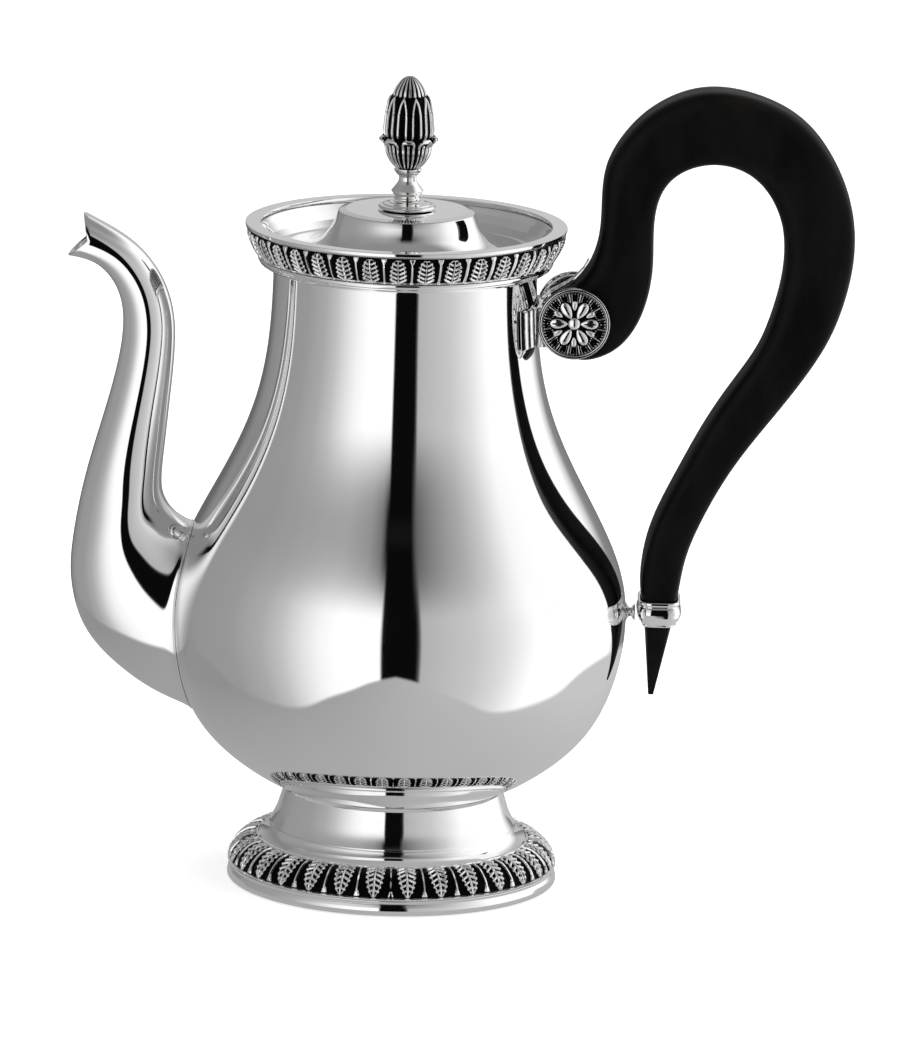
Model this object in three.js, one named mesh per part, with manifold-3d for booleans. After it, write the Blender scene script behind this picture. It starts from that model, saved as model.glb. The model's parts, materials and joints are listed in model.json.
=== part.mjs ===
// Silver coffee pot: a pear-shaped body on a flared foot, a swan-neck spout, a lift-off lid with
// a bud finial, and a wooden handle held by a rosette socket above and a ferrule below.
// Millimetres, +Z up. The spout points to -X and the handle to +X. The origin is under the middle
// of the whole pot's box, on the surface that the foot stands on.
import * as THREE from "three";
import { mergeVertices } from "three/addons/utils/BufferGeometryUtils.js";
import Module from "manifold-3d";

const wasm = await Module();
wasm.setup();

// Driving dimensions
const AXIS_X = -16.5; // the pot's own axis, from the middle of the whole box
const WALL = 1.2; // sheet silver, with its solder
const GAP = 0.3; // kept between pieces that touch
const ROUND = 36; // facets round the pot
const SMALL_ROUND = 16; // facets round the finial and fittings

const BODY_STEPS = 20; // steps up the body's outline
const SPOUT_STEPS = 22; // steps along the spout

const JOINT_Z = 28.4; // where the body meets the foot
const SEAM_Z = 79; // about where the body's two spun halves are soldered together
const JOINT_R = 33;
const BODY_TOP_Z = 190.2;
const RIM_R = 48;
const MOUTH_R = 43.5; // inside the rim
const SEAT_Z = 191.6; // the ledge that the lid rests on
const SEAT_R = 35.4; // the opening inside the ledge
const LIP_Z = 199;
const RIM_TOP_Z = 200.2;
const FOOT_R = 49.6;
const LID_TOP_Z = 204.7;
const LID_R = 36.8;
const STUD_R = 1.2;
const STUD_HOLE_R = 1.5;

const SPOUT_ROOT_B = 17.5; // half the spout's width across, at the body
const SPOUT_TIP_B = 6.2;
const HANDLE_B = 9.5; // half the handle's thickness
const SCROLL = { x: 50.5, z: 173.6 }; // centre of the handle's upper end
const ROSETTE_R = 10.8;
const CHEEK_IN = HANDLE_B + GAP;
const CHEEK_OUT = 11.9;
const ROSETTE_T = 1.8;
const SADDLE_Z = 171.6; // middle of the saddle's height
const WING_HALF = 21; // how far round the neck the saddle's wings reach, each way
const WING_T = 2;
const WING_END_X = 39.2;
const PIN_R = 1.6;
const POST_Z = 83.2; // the post between the body and the ferrule
const POST_END = 71.4;

// Outer profile of the body, radius and height, from the foot joint to the neck
const BODY_PROFILE = [
  [JOINT_R, JOINT_Z], [39.4, 31.6], [44.6, 34.8], [51.6, 40.1], [58.9, 48],
  [65.1, 60.5], [68.5, 77.5], [67.9, 90.3], [61.7, 107.6], [52.1, 126.1],
  [44.3, 144.9], [40.5, 163.5], [39.5, 178], [39.3, BODY_TOP_Z],
];

// Spout sections: lower-edge and upper-edge points (x from the pot's axis, z), root to tip
const SPOUT_SECTIONS = [
  [[-55, 48], [-55, 104.5]],
  [[-64.5, 52.3], [-64.2, 108.6]],
  [[-75, 57], [-68.6, 111.8]],
  [[-86.8, 66], [-71, 116]],
  [[-95.2, 76.6], [-71.6, 121]],
  [[-98.4, 90], [-71, 129]],
  [[-98, 101.5], [-70.3, 136]],
  [[-95, 119.5], [-69.4, 146]],
  [[-90, 137.5], [-68.5, 156]],
  [[-85.5, 154.5], [-68.2, 166]],
  [[-83.7, 167], [-69.1, 173.5]],
  [[-84.6, 176], [-71.8, 181.5]],
  [[-88.1, 182.6], [-76.6, 188.6]],
  [[-94, 187.2], [-84, 195.4]],
  [[-104, 188.6], [-100, 203.6]],
];
const SPOUT_MOUTH = { lower: [-100.6, 188.3], notch: [-94.6, 193.6], upper: [-95.9, 201.7] };
const STRAINER = { z: 92.5, r: 2.1, rings: [[0, 1], [7, 6]] };

// Handle sections: outer-edge and inner-edge points (x, z), from the socket to the spike's tip,
// with half the thickness across
const HANDLE_SECTIONS = [
  [[45.6, 180.6], [45.8, 163.6], 1],
  [[50.3, 183.9], [52.4, 160.6], 1],
  [[54, 187.8], [59.6, 162.1], 1],
  [[56.6, 193.6], [65.2, 165.8], 1],
  [[57.8, 200.4], [69.7, 172.2], 1],
  [[57.9, 208], [72.5, 180.4], 1],
  [[58.3, 215.8], [73.8, 190], 1],
  [[60.7, 223.4], [73.5, 200.4], 1],
  [[67, 232.3], [74.6, 209.8], 1],
  [[75.8, 239.2], [79, 217], 1],
  [[88.5, 243.6], [88, 221], 1],
  [[103.6, 241.4], [98.2, 220.1], 1],
  [[117.4, 234.6], [106.4, 214.3], 1],
  [[126.6, 223], [111.2, 205.3], 1],
  [[132, 210.7], [112.7, 197], 1],
  [[133.7, 199], [112.6, 189.5], 1],
  [[132.8, 187.4], [111.2, 181.3], 1],
  [[129.2, 174.1], [108.4, 171.5], 1],
  [[123.6, 162.7], [104.9, 163.5], 1],
  [[114.3, 149.3], [99.2, 155], 1],
  [[104.6, 136.8], [91.3, 143], 1],
  [[96.3, 124.4], [84.2, 129.3], 1],
  [[90, 111.9], [78, 116.8], 1],
  [[86, 101.5], [73.8, 105.3], 0.97],
  [[84.4, 92], [72.4, 93], 0.92],
  [[83.5, 86.5], [73.4, 86.5], 0.87],
  [[82.2, 79.6], [74.3, 79.6], 0.78],
  [[77.6, 58], [76, 58], 0.08],
];

// Ferrule levels, each a height and half the width along X; across, it is extraB wider a side
const FERRULE = {
  x: 78.45,
  extraB: 3.4,
  outside: [
    [80.4, 4.95], [81.6, 5.7], [83.4, 6.6], [85.2, 6.75], [86.6, 6.35], [87, 6.2], [87.6, 6.4],
    [88.2, 6.35],
  ],
  bore: [[88.2, 5.75], [84.3, 5.2], [80.4, 4.5]],
};

// Materials
function silver(name, tone = 0xd9d8d4, roughness = 0.08) {
  return new THREE.MeshStandardMaterial({ name, color: tone, roughness, metalness: 1 });
}

function makeMaterials() {
  return {
    body: silver("polished_silver"),
    foot: silver("foot_silver", 0xd3d2ce, 0.1),
    lid: silver("lid_silver", 0xdcdbd7, 0.07),
    relief: silver("oxidised_relief_silver", 0x8f8e8b, 0.3),
    fitting: silver("fitting_silver", 0xcfcecb, 0.14),
    inside: silver("inside_silver", 0xb9b8b4, 0.25),
    stud: silver("stud_silver", 0xa8a7a3, 0.35),
    wood: new THREE.MeshStandardMaterial({
      name: "ebonised_wood", color: 0x0b0a0a, roughness: 0.38, metalness: 0,
    }),
  };
}

// Solid helpers
function toSolid(geometry) {
  const bare = geometry.clone();
  bare.deleteAttribute("normal");
  bare.deleteAttribute("uv");
  const merged = mergeVertices(bare, 1e-4);
  return new wasm.Manifold(new wasm.Mesh({
    numProp: 3,
    vertProperties: merged.attributes.position.array,
    triVerts: new Uint32Array(merged.index.array),
  }));
}

function toGeometry(solid) {
  const mesh = solid.getMesh();
  return new THREE.BufferGeometry()
    .setAttribute("position", new THREE.BufferAttribute(mesh.vertProperties, 3))
    .setIndex(new THREE.BufferAttribute(mesh.triVerts, 1));
}

// A solid of revolution about Z. The profile runs counter-clockwise in the radius-height plane;
// it starts and ends on the axis, or it closes on itself.
function turned(profile, segments = ROUND) {
  const points = profile.map(([r, z]) => new THREE.Vector2(r, z));
  if (profile[0][0] > 0) points.push(points[0].clone());
  return new THREE.LatheGeometry(points, segments).rotateX(Math.PI / 2);
}

// A skin over rings of points. A tube's rings close on the first ring; a bar's ends are capped.
function skinned(rings, isTube) {
  const around = rings[0].length;
  const positions = rings.flat().flatMap((p) => [p.x, p.y, p.z]);
  const index = [];
  const spans = isTube ? rings.length : rings.length - 1;
  for (let i = 0; i < spans; i++) {
    const next = (i + 1) % rings.length;
    for (let j = 0; j < around; j++) {
      const k = (j + 1) % around;
      const [a, b] = [i * around + j, i * around + k];
      const [c, d] = [next * around + j, next * around + k];
      index.push(a, b, d, a, d, c);
    }
  }
  if (!isTube) {
    capEnd(positions, index, rings[0], 0, false);
    capEnd(positions, index, rings.at(-1), (rings.length - 1) * around, true);
  }
  if (signedVolume(positions, index) < 0) index.reverse();
  return new THREE.BufferGeometry()
    .setAttribute("position", new THREE.Float32BufferAttribute(positions, 3))
    .setIndex(index);
}

// Six times the volume that the faces enclose, positive if they face out
function signedVolume(positions, index) {
  const corner = (i) => new THREE.Vector3().fromArray(positions, 3 * i);
  let sum = 0;
  for (let i = 0; i < index.length; i += 3) {
    const [a, b, c] = [corner(index[i]), corner(index[i + 1]), corner(index[i + 2])];
    sum += a.dot(b.cross(c));
  }
  return sum;
}

function capEnd(positions, index, ring, first, isLast) {
  const middle = ring.reduce((sum, p) => sum.add(p), new THREE.Vector3()).divideScalar(ring.length);
  const centre = positions.length / 3;
  positions.push(middle.x, middle.y, middle.z);
  for (let j = 0; j < ring.length; j++) {
    const [a, b] = [first + j, first + ((j + 1) % ring.length)];
    if (isLast) index.push(centre, a, b);
    else index.push(centre, b, a);
  }
}

// One ring of a section between two edge points in the XZ plane. power 2 is an ellipse, and a
// higher power is a rounded rectangle. inset makes the section smaller all round.
function sectionRing(outer, inner, halfWidth, { power = 2, around = 16, inset = 0 } = {}) {
  const middle = outer.clone().add(inner).multiplyScalar(0.5);
  const arm = outer.clone().sub(middle);
  const reach = arm.length() - inset;
  arm.setLength(reach);
  const ring = [];
  for (let j = 0; j < around; j++) {
    const angle = (j / around) * 2 * Math.PI;
    const c = Math.cos(angle);
    const s = Math.sin(angle);
    const u = Math.sign(c) * Math.abs(c) ** (2 / power);
    const v = Math.sign(s) * Math.abs(s) ** (2 / power);
    ring.push(new THREE.Vector3(
      middle.x + arm.x * u,
      (halfWidth - inset) * v,
      middle.y + arm.y * u,
    ));
  }
  return ring;
}

function splineThrough(pairs) {
  return new THREE.SplineCurve(pairs.map(([x, z]) => new THREE.Vector2(x, z)));
}

function bodyCurve(samples) {
  return splineThrough(BODY_PROFILE).getPoints(samples).map((p) => [p.x, p.y]);
}

// The body's outline moved along its own normal, outwards if distance is positive
function offsetProfile(profile, distance) {
  return profile.map(([r, z], i) => {
    const [r0, z0] = profile[Math.max(i - 1, 0)];
    const [r1, z1] = profile[Math.min(i + 1, profile.length - 1)];
    const length = Math.hypot(r1 - r0, z1 - z0);
    return [r + (distance * (z1 - z0)) / length, z - (distance * (r1 - r0)) / length];
  });
}

// The filled body, used to cut what is soldered against it
function bodyFilled(clearance) {
  const side = offsetProfile(bodyCurve(BODY_STEPS), clearance);
  const solid = [[0, JOINT_Z - 2], ...side, [0, BODY_TOP_Z]];
  return toSolid(turned(solid));
}

// Body: a bowl below its widest line and a neck above, each a ring of sheet
function bodyHalves() {
  const outer = bodyCurve(BODY_STEPS);
  const inner = offsetProfile(outer, -WALL);
  inner[inner.length - 1] = [BODY_PROFILE.at(-1)[0] - WALL, BODY_TOP_Z];
  const seam = outer.findIndex(([, z]) => z > SEAM_Z);
  const cut = (line, z) => [line[seam][0], z];
  const below = outer[seam][1] - GAP / 2;
  const above = outer[seam][1] + GAP / 2;
  const half = (start, end, first, last) => {
    const sheet = (line) => [...first(line), ...line.slice(start, end), ...last(line)];
    return turned([...sheet(outer), ...sheet(inner).reverse()]);
  };
  const none = () => [];
  return {
    bowl: half(0, seam, none, (line) => [cut(line, below)]),
    upper: half(seam + 1, outer.length, (line) => [cut(line, above)], none),
  };
}

function bodyBowl() {
  return bodyHalves().bowl;
}

// The upper half, with the strainer holes behind the spout
function bodyShell() {
  let solid = toSolid(bodyHalves().upper);
  for (const [radius, count] of STRAINER.rings) {
    for (let i = 0; i < count; i++) {
      const angle = (i / count) * 2 * Math.PI;
      const drill = new THREE.CylinderGeometry(STRAINER.r, STRAINER.r, 16, 8)
        .rotateZ(Math.PI / 2)
        .translate(-64, radius * Math.cos(angle), STRAINER.z + radius * Math.sin(angle));
      solid = solid.subtract(toSolid(drill));
    }
  }
  return toGeometry(solid);
}

// The dished plate that closes the body's bottom
function bodyBase() {
  return turned([[0, 26.4], [18, 27], [32.2, 28.2], [31.7, 29.3], [18, 28.2], [0, 27.6]]);
}

function neckRing() {
  return turned([
    [39.6, 186.9], [41.7, 187.3], [43.5, 188.3], [44.1, 189.2], [44.1, 190.1], [39.6, 190.1],
  ]);
}

function rimFrieze() {
  return turned([
    [41, 190.4], [44.3, 190.4], [45.4, 192], [46.7, 194.5], [47.5, 196.8], [47.6, 198.7],
    [44.8, 198.7], [44.3, 195.7], [42.6, 192.4], [41, 190.9],
  ]);
}

function rimLip() {
  return turned([
    [MOUTH_R, LIP_Z], [RIM_R - 0.3, LIP_Z], [RIM_R, LIP_Z + 0.3], [RIM_R, RIM_TOP_Z - 0.3],
    [RIM_R - 0.3, RIM_TOP_Z], [MOUTH_R, RIM_TOP_Z],
  ]);
}

function gallery() {
  return turned([
    [SEAT_R, SEAT_Z - 1], [39.4, SEAT_Z - 1], [41.8, 192.2], [43.9, 195.8], [44.5, 198.7],
    [MOUTH_R, 198.7], [43, 196.2], [41.1, 193.2], [38.9, SEAT_Z + 0.1], [SEAT_R, SEAT_Z],
  ]);
}

// Foot
function footPedestal() {
  const outer = [
    [40.2, 13], [38.5, 14.7], [36.9, 16.9], [35.2, 20.2], [34, 23.9], [33.3, 26.2], [32.9, 27.6],
  ];
  const inner = offsetProfile(outer, -WALL).reverse();
  return turned([...outer, ...inner]);
}

function footLeafBand() {
  return turned([
    [40.6, 11.5], [42.4, 11.2], [44.4, 10.4], [46.3, 8.8], [47.5, 6.8], [48, 4.9],
    [49.5, 4.9], [49.2, 6.8], [48.4, 8.6], [47, 10.3], [45.2, 11.8], [43, 12.7], [40.6, 12.9],
  ]);
}

function footRim() {
  return turned([
    [45.5, 0], [FOOT_R - 0.4, 0], [FOOT_R, 0.5], [FOOT_R, 3.4], [49.3, 4.6], [48, 4.6],
    [46.6, 3], [45.5, 1.6],
  ]);
}

// Spout
function spoutHalfWidth(t) {
  const ease = 0.5 + 0.5 * Math.cos(Math.PI * t);
  return SPOUT_TIP_B + (SPOUT_ROOT_B - SPOUT_TIP_B) * ease;
}

function spout() {
  const lower = splineThrough(SPOUT_SECTIONS.map(([point]) => point));
  const upper = splineThrough(SPOUT_SECTIONS.map(([, point]) => point));
  const rings = [];
  const push = (step, inset) => {
    const t = step / SPOUT_STEPS;
    rings.push(sectionRing(lower.getPoint(t), upper.getPoint(t), spoutHalfWidth(t), { inset }));
  };
  for (let i = 0; i <= SPOUT_STEPS; i++) push(i, 0);
  for (let i = SPOUT_STEPS; i >= 0; i--) push(i, WALL);
  return toGeometry(toSolid(skinned(rings, true)).subtract(bodyFilled(GAP)).subtract(mouthCutter()));
}

// The prism in front of the spout's mouth, which leaves both lips standing out past the sides
function mouthCutter() {
  const { lower, notch, upper } = SPOUT_MOUTH;
  const front = -125;
  const shape = new THREE.Shape([
    new THREE.Vector2(...lower), new THREE.Vector2(...notch), new THREE.Vector2(...upper),
    new THREE.Vector2(upper[0], 215), new THREE.Vector2(front, 215),
    new THREE.Vector2(front, 180), new THREE.Vector2(lower[0], 180),
  ]);
  const depth = 40;
  const prism = new THREE.ExtrudeGeometry(shape, { depth, bevelEnabled: false })
    .rotateX(Math.PI / 2)
    .translate(0, depth / 2, 0);
  return toSolid(prism);
}

// Lid
function lid() {
  return turned([
    [STUD_HOLE_R, LID_TOP_Z - 1.1], [18, 203.6], [19.8, 202.4], [20, 200.5], [20.8, 198.2],
    [22.1, 196.2], [24.2, 194.2], [27.2, 192.8], [31, SEAT_Z + 0.3], [LID_R, SEAT_Z + 0.3],
    [LID_R, 192.8], [31, 193.1], [27.6, 193.9], [25, 195.1], [23, 196.9], [21.8, 198.6],
    [21.1, 200.6], [20.9, 202.6], [20.2, 204], [18.2, LID_TOP_Z], [STUD_HOLE_R, LID_TOP_Z],
  ]);
}

function lidBezel() {
  return turned([[33.9, 184], [34.9, 184], [34.9, SEAT_Z], [33.9, SEAT_Z]]);
}

function finialFoot() {
  return turned([
    [STUD_HOLE_R, 205], [8.3, 205], [8.6, 205.5], [8.2, 206], [6.4, 206.6], [4.4, 207],
    [3.9, 207.3], [STUD_HOLE_R, 207.3],
  ], SMALL_ROUND);
}

function finialKnop() {
  return turned([
    [STUD_HOLE_R, 207.6], [3.9, 207.6], [3.6, 208.4], [4.85, 210.3], [3.2, 212.4], [2.6, 213.8],
    [2.6, 214.8], [3.4, 215.4], [4, 216], [4.1, 217.1], [STUD_HOLE_R, 217.1],
  ], SMALL_ROUND);
}

function finialCalyx() {
  return turned([
    [STUD_HOLE_R, 217.4], [3.9, 217.4], [5.85, 219.6], [7, 222.5], [7.7, 225.2], [8.7, 225.6],
    [8.8, 226.3], [7.6, 226.8], [6.9, 226.6], [6.3, 223.6], [5, 220.7], [2.6, 218.9],
    [STUD_HOLE_R, 218.9],
  ], SMALL_ROUND);
}

function finialBud() {
  return turned([
    [0, 224.3], [STUD_HOLE_R, 224.3], [STUD_HOLE_R, 219.2], [2.3, 219.2], [4.5, 221], [5.9, 223.8],
    [6.5, 227.1], [7.7, 227.4], [7.6, 230], [7.35, 233], [6.9, 236], [6.2, 238.4], [5.5, 239.4],
    [4.9, 239.9], [4.4, 241], [3.5, 242.4], [2.2, 243.9], [1, 244.7], [0, 244.9],
  ], SMALL_ROUND);
}

function finialStud() {
  return new THREE.CylinderGeometry(STUD_R, STUD_R, 34, 16).rotateX(Math.PI / 2).translate(0, 0, 207);
}

function finialWasher() {
  return turned([[STUD_HOLE_R, 202.4], [5.5, 202.4], [5.5, 203.3], [STUD_HOLE_R, 203.3]], SMALL_ROUND);
}

function finialNut() {
  return turned([[STUD_HOLE_R, 199.6], [3.6, 199.6], [3.6, 202.1], [STUD_HOLE_R, 202.1]], 6);
}

// Handle
function handle() {
  const outer = splineThrough(HANDLE_SECTIONS.map(([point]) => point));
  const inner = splineThrough(HANDLE_SECTIONS.map(([, point]) => point));
  const shares = HANDLE_SECTIONS.map(([, , share]) => share);
  const rings = [];
  const perSection = 2;
  const steps = (HANDLE_SECTIONS.length - 1) * perSection;
  for (let i = 0; i <= steps; i++) {
    const t = i / steps;
    const low = Math.floor(i / perSection);
    const high = Math.min(low + 1, shares.length - 1);
    const share = shares[low] + (shares[high] - shares[low]) * (i / perSection - low);
    rings.push(sectionRing(outer.getPoint(t), inner.getPoint(t), HANDLE_B * share, {
      power: 4.5,
      around: 12,
    }));
  }
  const pinHole = new THREE.CylinderGeometry(PIN_R + GAP, PIN_R + GAP, 40, 12)
    .translate(SCROLL.x, 0, SCROLL.z);
  return toGeometry(toSolid(skinned(rings, false)).subtract(toSolid(pinHole)));
}

// The casting that holds the handle's upper end: two round cheeks on a saddle soldered to the neck,
// with thin wings that hug the neck on both sides
function handleSocket() {
  const saddle = new THREE.BoxGeometry(9, 2 * CHEEK_OUT, 11.6).translate(40.7, 0, SADDLE_Z);
  const wingBlock = new THREE.BoxGeometry(10, 2 * WING_HALF, 12.4)
    .translate(WING_END_X - 5, 0, SADDLE_Z + 0.4);
  const wings = toSolid(wingBlock).intersect(bodyFilled(WING_T));
  let solid = toSolid(saddle).add(wings);
  for (const side of [-1, 1]) {
    const cheek = new THREE.CylinderGeometry(ROSETTE_R - 0.5, ROSETTE_R - 0.5, CHEEK_OUT - CHEEK_IN, 28)
      .translate(SCROLL.x, (side * (CHEEK_IN + CHEEK_OUT)) / 2, SCROLL.z);
    solid = solid.add(toSolid(cheek));
  }
  const pinHole = new THREE.CylinderGeometry(PIN_R + GAP, PIN_R + GAP, 40, 12)
    .translate(SCROLL.x, 0, SCROLL.z);
  return toGeometry(solid.subtract(toSolid(pinHole)).subtract(bodyFilled(GAP)));
}

function socketPin() {
  return new THREE.CylinderGeometry(PIN_R, PIN_R, 2 * CHEEK_OUT - 0.4, 12).translate(SCROLL.x, 0, SCROLL.z);
}

// A round plaque with a raised rim and boss. side is -1 in front and 1 behind.
function rosette(side) {
  const face = [
    [0, 0], [ROSETTE_R, 0], [ROSETTE_R, 1.3], [ROSETTE_R - 0.5, ROSETTE_T], [ROSETTE_R - 1.3, 1.6],
    [ROSETTE_R - 1.6, 1], [6, 1.1], [2.4, 1.3], [1.6, ROSETTE_T], [0, ROSETTE_T],
  ];
  const plaque = turned(face, 28);
  plaque.rotateX((-side * Math.PI) / 2);
  return plaque.translate(SCROLL.x, side * (CHEEK_OUT + 0.2), SCROLL.z);
}

// The pointed leaf that runs up the back of the handle from the socket
function socketLeaf() {
  const spine = splineThrough([
    [41.5, 178], [43.5, 180.1], [46.6, 182.1], [50.3, 184.6], [53.4, 188.1], [54.8, 190.9],
  ]);
  const rings = [];
  const steps = 8;
  for (let i = 0; i <= steps; i++) {
    const t = i / steps;
    const along = spine.getTangent(t);
    const out = new THREE.Vector2(-along.y, along.x);
    const at = spine.getPoint(t);
    const thick = 1 - 0.6 * t;
    const halfWidth = 0.3 + 4.9 * Math.sqrt(1 - t) * (0.85 + 0.15 * Math.cos(Math.PI * t));
    rings.push(sectionRing(
      at.clone().addScaledVector(out, thick + 0.15),
      at.clone().addScaledVector(out, 0.15),
      halfWidth,
      { power: 3, around: 12 },
    ));
  }
  return skinned(rings, false);
}

// The ferrule: a ring round the wood, bulged outside and tapered inside
function ferruleRing() {
  const level = ([z, half]) => sectionRing(
    new THREE.Vector2(FERRULE.x + half, z),
    new THREE.Vector2(FERRULE.x - half, z),
    half + FERRULE.extraB,
    { power: 4.5, around: 16 },
  );
  return skinned([...FERRULE.outside.map(level), ...FERRULE.bore.map(level)], true);
}

// The short post that carries the ferrule off the body
function ferrulePost() {
  const profile = [
    [0, 67.4], [3, 67.4], [2.8, 68.9], [1.4, 70], [1.4, 70.3], [2.5, 71], [2.5, POST_END],
    [0, POST_END],
  ];
  const post = turned(profile, SMALL_ROUND).rotateY(Math.PI / 2).translate(0, 0, POST_Z);
  return toGeometry(toSolid(post).subtract(bodyFilled(GAP)));
}

function build() {
  const material = makeMaterials();
  const pot = new THREE.Group();
  pot.position.x = AXIS_X;
  const parts = [
    ["body_bowl", bodyBowl(), material.body],
    ["body_shell", bodyShell(), material.body],
    ["body_base", bodyBase(), material.inside],
    ["neck_ring", neckRing(), material.body],
    ["rim_frieze", rimFrieze(), material.relief],
    ["rim_lip", rimLip(), material.body],
    ["lid_gallery", gallery(), material.inside],
    ["foot_pedestal", footPedestal(), material.foot],
    ["foot_leaf_band", footLeafBand(), material.relief],
    ["foot_rim", footRim(), material.foot],
    ["spout", spout(), material.body],
    ["lid", lid(), material.lid],
    ["lid_bezel", lidBezel(), material.inside],
    ["finial_foot", finialFoot(), material.fitting],
    ["finial_knop", finialKnop(), material.fitting],
    ["finial_calyx", finialCalyx(), material.relief],
    ["finial_bud", finialBud(), material.relief],
    ["finial_stud", finialStud(), material.stud],
    ["finial_washer", finialWasher(), material.stud],
    ["finial_nut", finialNut(), material.stud],
    ["handle", handle(), material.wood],
    ["handle_socket", handleSocket(), material.fitting],
    ["socket_leaf", socketLeaf(), material.fitting],
    ["socket_pin", socketPin(), material.stud],
    ["rosette_front", rosette(-1), material.relief],
    ["rosette_back", rosette(1), material.relief],
    ["ferrule_ring", ferruleRing(), material.fitting],
    ["ferrule_post", ferrulePost(), material.fitting],
  ];
  for (const [name, geometry, surface] of parts) {
    const mesh = new THREE.Mesh(geometry, surface);
    mesh.name = name;
    pot.add(mesh);
  }
  return pot;
}

export default new THREE.Group().add(build());
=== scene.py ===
"""Silver coffee pot: fine surfaces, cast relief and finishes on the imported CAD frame."""

import json
import math

import bmesh
import bpy
import numpy as np
from mathutils import Matrix, Vector


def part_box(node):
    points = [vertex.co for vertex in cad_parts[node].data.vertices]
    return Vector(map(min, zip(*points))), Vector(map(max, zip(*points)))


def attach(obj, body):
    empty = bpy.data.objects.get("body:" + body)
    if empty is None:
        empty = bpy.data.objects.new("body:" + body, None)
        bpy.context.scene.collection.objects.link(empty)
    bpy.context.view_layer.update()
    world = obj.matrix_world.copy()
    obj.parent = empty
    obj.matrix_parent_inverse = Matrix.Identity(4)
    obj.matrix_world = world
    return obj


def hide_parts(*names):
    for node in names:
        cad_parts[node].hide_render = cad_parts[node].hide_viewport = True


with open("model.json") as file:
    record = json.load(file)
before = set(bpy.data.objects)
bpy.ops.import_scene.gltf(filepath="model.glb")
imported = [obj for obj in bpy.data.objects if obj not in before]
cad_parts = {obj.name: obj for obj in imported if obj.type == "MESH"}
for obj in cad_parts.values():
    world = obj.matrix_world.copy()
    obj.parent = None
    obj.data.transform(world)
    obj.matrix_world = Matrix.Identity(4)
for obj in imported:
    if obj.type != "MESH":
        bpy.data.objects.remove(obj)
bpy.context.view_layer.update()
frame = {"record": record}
RIM_LOW, RIM_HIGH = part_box("rim_lip")
AXIS_X = (RIM_LOW.x + RIM_HIGH.x) / 2 * 1000
TAU = 2 * math.pi
ROUND = 288  # steps round the pot's plain pieces
WALL, GAP = 1.2, 0.3  # the silver's thickness, and the room between the socket and the neck

# Sizes in millimetres and places from the pot's own axis, as in the CAD model: outlines are lists
# of a radius or an x, and a z
BODY_PROFILE = [
    (33, 28.4), (39.4, 31.6), (44.6, 34.8), (51.6, 40.1), (58.9, 48), (65.1, 60.5), (68.5, 77.5),
    (67.9, 90.3), (61.7, 107.6), (52.1, 126.1), (44.3, 144.9), (40.5, 163.5), (39.5, 178),
    (39.3, 190.2),
]
SPOUT_SECTIONS = [  # the lower and the upper edge, from the root to the mouth
    ((-55, 48), (-55, 104.5)), ((-64.5, 52.3), (-64.2, 108.6)), ((-75, 57), (-68.6, 111.8)),
    ((-86.8, 66), (-71, 116)), ((-95.2, 76.6), (-71.6, 121)), ((-98.4, 90), (-71, 129)),
    ((-98, 101.5), (-70.3, 136)), ((-95, 119.5), (-69.4, 146)), ((-90, 137.5), (-68.5, 156)),
    ((-85.5, 154.5), (-68.2, 166)), ((-83.7, 167), (-69.1, 173.5)), ((-84.6, 176), (-71.8, 181.5)),
    ((-88.1, 182.6), (-76.6, 188.6)), ((-94, 187.2), (-84, 195.4)), ((-104, 188.6), (-100, 203.6)),
]
SPOUT_ROOT_B, SPOUT_TIP_B = 17.5, 6.2
SPOUT_MOUTH = [(-100.6, 188.3), (-94.6, 193.6), (-95.9, 201.7)]
STRAINER = {"z": 92.5, "r": 2.1, "rings": [(0, 1), (7, 6)], "through": (-72, -56)}
HANDLE_SECTIONS = [  # the outer and the inner edge, and the share of the full thickness across
    ((45.6, 180.6), (45.8, 163.6), 1), ((50.3, 183.9), (52.4, 160.6), 1),
    ((54, 187.8), (59.6, 162.1), 1), ((56.6, 193.6), (65.2, 165.8), 1),
    ((57.8, 200.4), (69.7, 172.2), 1), ((57.9, 208), (72.5, 180.4), 1),
    ((58.3, 215.8), (73.8, 190), 1), ((60.7, 223.4), (73.5, 200.4), 1),
    ((67, 232.3), (74.6, 209.8), 1), ((75.8, 239.2), (79, 217), 1),
    ((88.5, 243.6), (88, 221), 1), ((103.6, 241.4), (98.2, 220.1), 1),
    ((117.4, 234.6), (106.4, 214.3), 1), ((126.6, 223), (111.2, 205.3), 1),
    ((132, 210.7), (112.7, 197), 1), ((133.7, 199), (112.6, 189.5), 1),
    ((132.8, 187.4), (111.2, 181.3), 1), ((129.2, 174.1), (108.4, 171.5), 1),
    ((123.6, 162.7), (104.9, 163.5), 1), ((114.3, 149.3), (99.2, 155), 1),
    ((104.6, 136.8), (91.3, 143), 1), ((96.3, 124.4), (84.2, 129.3), 1),
    ((90, 111.9), (78, 116.8), 1), ((86, 101.5), (73.8, 105.3), 0.97),
    ((84.4, 92), (72.4, 93), 0.92), ((83.5, 86.5), (73.4, 86.5), 0.87),
    ((82.2, 79.6), (74.3, 79.6), 0.78), ((77.6, 58), (76, 58), 0.08),
]
HANDLE_B = 9.5  # half the thickness across
# The socket: the middle of its plaques and pin, its cheeks, its saddle and the saddle's wings
SCROLL_X, SCROLL_Z = 50.5, 173.6
ROSETTE_R = 10.8
CHEEK_IN, CHEEK_OUT, CHEEK_R = 9.8, 11.9, 10.3
SADDLE_LOW, SADDLE_HIGH, SADDLE_Z, SADDLE_END_X = 166.6, 178.2, 171.6, 45.2
WING_HALF, WING_T, WING_END_X = 21, 2, 39.2
# The ferrule's middle, how much further it reaches across than along the pot, and its post
FERRULE_X, FERRULE_EXTRA = 78.45, 3.4
POST_Z = 83.2

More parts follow.
